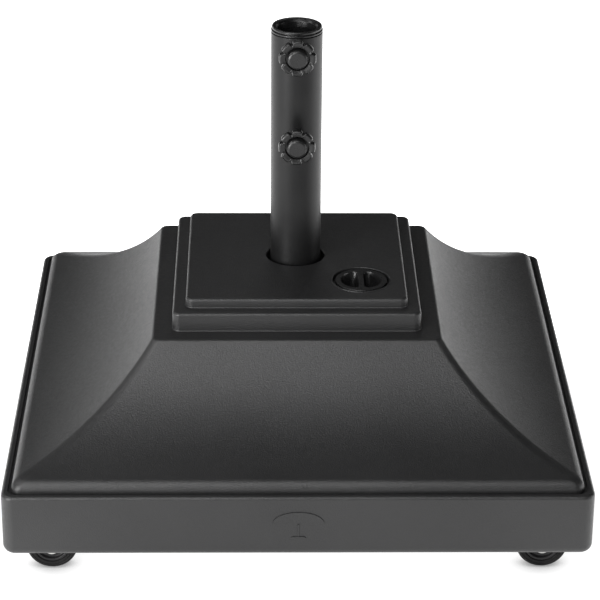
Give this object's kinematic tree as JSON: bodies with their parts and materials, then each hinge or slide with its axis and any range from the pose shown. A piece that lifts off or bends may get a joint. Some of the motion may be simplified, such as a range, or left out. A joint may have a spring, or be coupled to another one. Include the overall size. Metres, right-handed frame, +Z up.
{
  "type": "parasol base",
  "caption": "Square fillable parasol base with a concave hipped tank, stepped plinth, clamped pole socket, screw-in fill plug and swivel casters.",
  "frame": {"origin": "on the ground under the middle of the base", "axes": "+Z up; -Y is the front, where the two clamp knobs point; +X is to the right seen from the front"},
  "size_m": [0.6, 0.6, 0.5077],
  "materials": {
    "tank_plastic": "charcoal blow-moulded polyethylene with a fine matte grain",
    "black_plastic": "black moulded plastic, satin",
    "powder_steel": "black fine-texture powder coat on steel",
    "zinc_steel": "zinc-plated steel",
    "rubber": "black rubber",
    "tyre": "black rubber tread",
    "wheel_plastic": "black moulded nylon"
  },
  "bodies": {
    "root": {"tank": "tank_plastic", "centre_tube": "powder_steel", "tube_foot_plate": "powder_steel", "foot_washer": "zinc_steel", "foot_bolt": "zinc_steel", "upper_weld_nut": "powder_steel", "lower_weld_nut": "powder_steel", "front_left_caster_plate": "zinc_steel", "front_left_kingpin": "zinc_steel", "front_left_screw_1": "zinc_steel", "front_left_screw_2": "zinc_steel", "front_left_screw_3": "zinc_steel", "front_left_screw_4": "zinc_steel", "front_right_caster_plate": "zinc_steel", "front_right_kingpin": "zinc_steel", "front_right_screw_1": "zinc_steel", "front_right_screw_2": "zinc_steel", "front_right_screw_3": "zinc_steel", "front_right_screw_4": "zinc_steel", "rear_left_caster_plate": "zinc_steel", "rear_left_kingpin": "zinc_steel", "rear_left_screw_1": "zinc_steel", "rear_left_screw_2": "zinc_steel", "rear_left_screw_3": "zinc_steel", "rear_left_screw_4": "zinc_steel", "rear_right_caster_plate": "zinc_steel", "rear_right_kingpin": "zinc_steel", "rear_right_screw_1": "zinc_steel", "rear_right_screw_2": "zinc_steel", "rear_right_screw_3": "zinc_steel", "rear_right_screw_4": "zinc_steel"},
    "sleeve": {"reducer_sleeve": "black_plastic"},
    "upper_clamp": {"upper_clamp_pad": "rubber"},
    "upper_knob": {"upper_knob_grip": "black_plastic", "upper_knob_cap": "black_plastic", "upper_clamp_stud": "zinc_steel"},
    "lower_clamp": {"lower_clamp_pad": "rubber"},
    "lower_knob": {"lower_knob_grip": "black_plastic", "lower_knob_cap": "black_plastic", "lower_clamp_stud": "zinc_steel"},
    "plug_seal": {"plug_gasket": "rubber"},
    "plug": {"fill_plug": "black_plastic"},
    "front_left_fork": {"front_left_yoke": "zinc_steel", "front_left_axle": "zinc_steel"},
    "front_left_wheel": {"front_left_wheel_hub": "wheel_plastic", "front_left_tyre": "tyre"},
    "front_right_fork": {"front_right_yoke": "zinc_steel", "front_right_axle": "zinc_steel"},
    "front_right_wheel": {"front_right_wheel_hub": "wheel_plastic", "front_right_tyre": "tyre"},
    "rear_left_fork": {"rear_left_yoke": "zinc_steel", "rear_left_axle": "zinc_steel"},
    "rear_left_wheel": {"rear_left_wheel_hub": "wheel_plastic", "rear_left_tyre": "tyre"},
    "rear_left_brake": {"rear_left_brake_pedal": "zinc_steel"},
    "rear_right_fork": {"rear_right_yoke": "zinc_steel", "rear_right_axle": "zinc_steel"},
    "rear_right_wheel": {"rear_right_wheel_hub": "wheel_plastic", "rear_right_tyre": "tyre"},
    "rear_right_brake": {"rear_right_brake_pedal": "zinc_steel"}
  },
  "joints": [
    {"name": "sleeve_pull", "type": "slide", "parent": "root", "child": "sleeve", "axis": [0, 0, 1], "range_m": [0, 0.155]},
    {"name": "upper_clamp_travel", "type": "slide", "parent": "root", "child": "upper_clamp", "axis": [0, -1, 0], "range_m": [-0.0025, 0.005]},
    {"name": "upper_knob_turn", "type": "hinge", "parent": "upper_clamp", "child": "upper_knob", "pos_m": [0, -0.045, 0.4882], "axis": [0, -1, 0], "range_deg": [-720, 1440]},
    {"name": "lower_clamp_travel", "type": "slide", "parent": "root", "child": "lower_clamp", "axis": [0, -1, 0], "range_m": [-0.0025, 0.005]},
    {"name": "lower_knob_turn", "type": "hinge", "parent": "lower_clamp", "child": "lower_knob", "pos_m": [0, -0.045, 0.3898], "axis": [0, -1, 0], "range_deg": [-720, 1440]},
    {"name": "plug_lift", "type": "slide", "parent": "root", "child": "plug_seal", "axis": [0, 0, 1], "range_m": [0, 0.02]},
    {"name": "plug_turn", "type": "hinge", "parent": "plug_seal", "child": "plug", "pos_m": [0.0691, -0.0678, 0.2455], "axis": [0, 0, 1], "range_deg": [0, 1800]},
    {"name": "front_left_swivel", "type": "hinge", "parent": "root", "child": "front_left_fork", "pos_m": [-0.237, -0.2415, 0.06], "axis": [0, 0, 1], "continuous": true},
    {"name": "front_left_roll", "type": "hinge", "parent": "front_left_fork", "child": "front_left_wheel", "pos_m": [-0.254, -0.2415, 0.027], "axis": [0, 1, 0], "continuous": true},
    {"name": "front_right_swivel", "type": "hinge", "parent": "root", "child": "front_right_fork", "pos_m": [0.237, -0.2415, 0.06], "axis": [0, 0, 1], "continuous": true},
    {"name": "front_right_roll", "type": "hinge", "parent": "front_right_fork", "child": "front_right_wheel", "pos_m": [0.254, -0.2415, 0.027], "axis": [0, 1, 0], "continuous": true},
    {"name": "rear_left_swivel", "type": "hinge", "parent": "root", "child": "rear_left_fork", "pos_m": [-0.237, 0.2415, 0.06], "axis": [0, 0, 1], "continuous": true},
    {"name": "rear_left_roll", "type": "hinge", "parent": "rear_left_fork", "child": "rear_left_wheel", "pos_m": [-0.254, 0.2415, 0.027], "axis": [0, 1, 0], "continuous": true},
    {"name": "rear_left_brake_press", "type": "hinge", "parent": "rear_left_fork", "child": "rear_left_brake", "pos_m": [-0.2775, 0.2415, 0.0485], "axis": [0, -1, 0], "range_deg": [0, 8]},
    {"name": "rear_right_swivel", "type": "hinge", "parent": "root", "child": "rear_right_fork", "pos_m": [0.237, 0.2415, 0.06], "axis": [0, 0, 1], "continuous": true},
    {"name": "rear_right_roll", "type": "hinge", "parent": "rear_right_fork", "child": "rear_right_wheel", "pos_m": [0.254, 0.2415, 0.027], "axis": [0, 1, 0], "continuous": true},
    {"name": "rear_right_brake_press", "type": "hinge", "parent": "rear_right_fork", "child": "rear_right_brake", "pos_m": [0.2775, 0.2415, 0.0485], "axis": [0, 1, 0], "range_deg": [0, 8]}
  ],
  "couplings": [
    {"joint": "upper_clamp_travel", "follows": "upper_knob_turn", "m_per_rad": 0.00019894},
    {"joint": "lower_clamp_travel", "follows": "lower_knob_turn", "m_per_rad": 0.00019894},
    {"joint": "plug_lift", "follows": "plug_turn", "m_per_rad": 0.00063661}
  ]
}
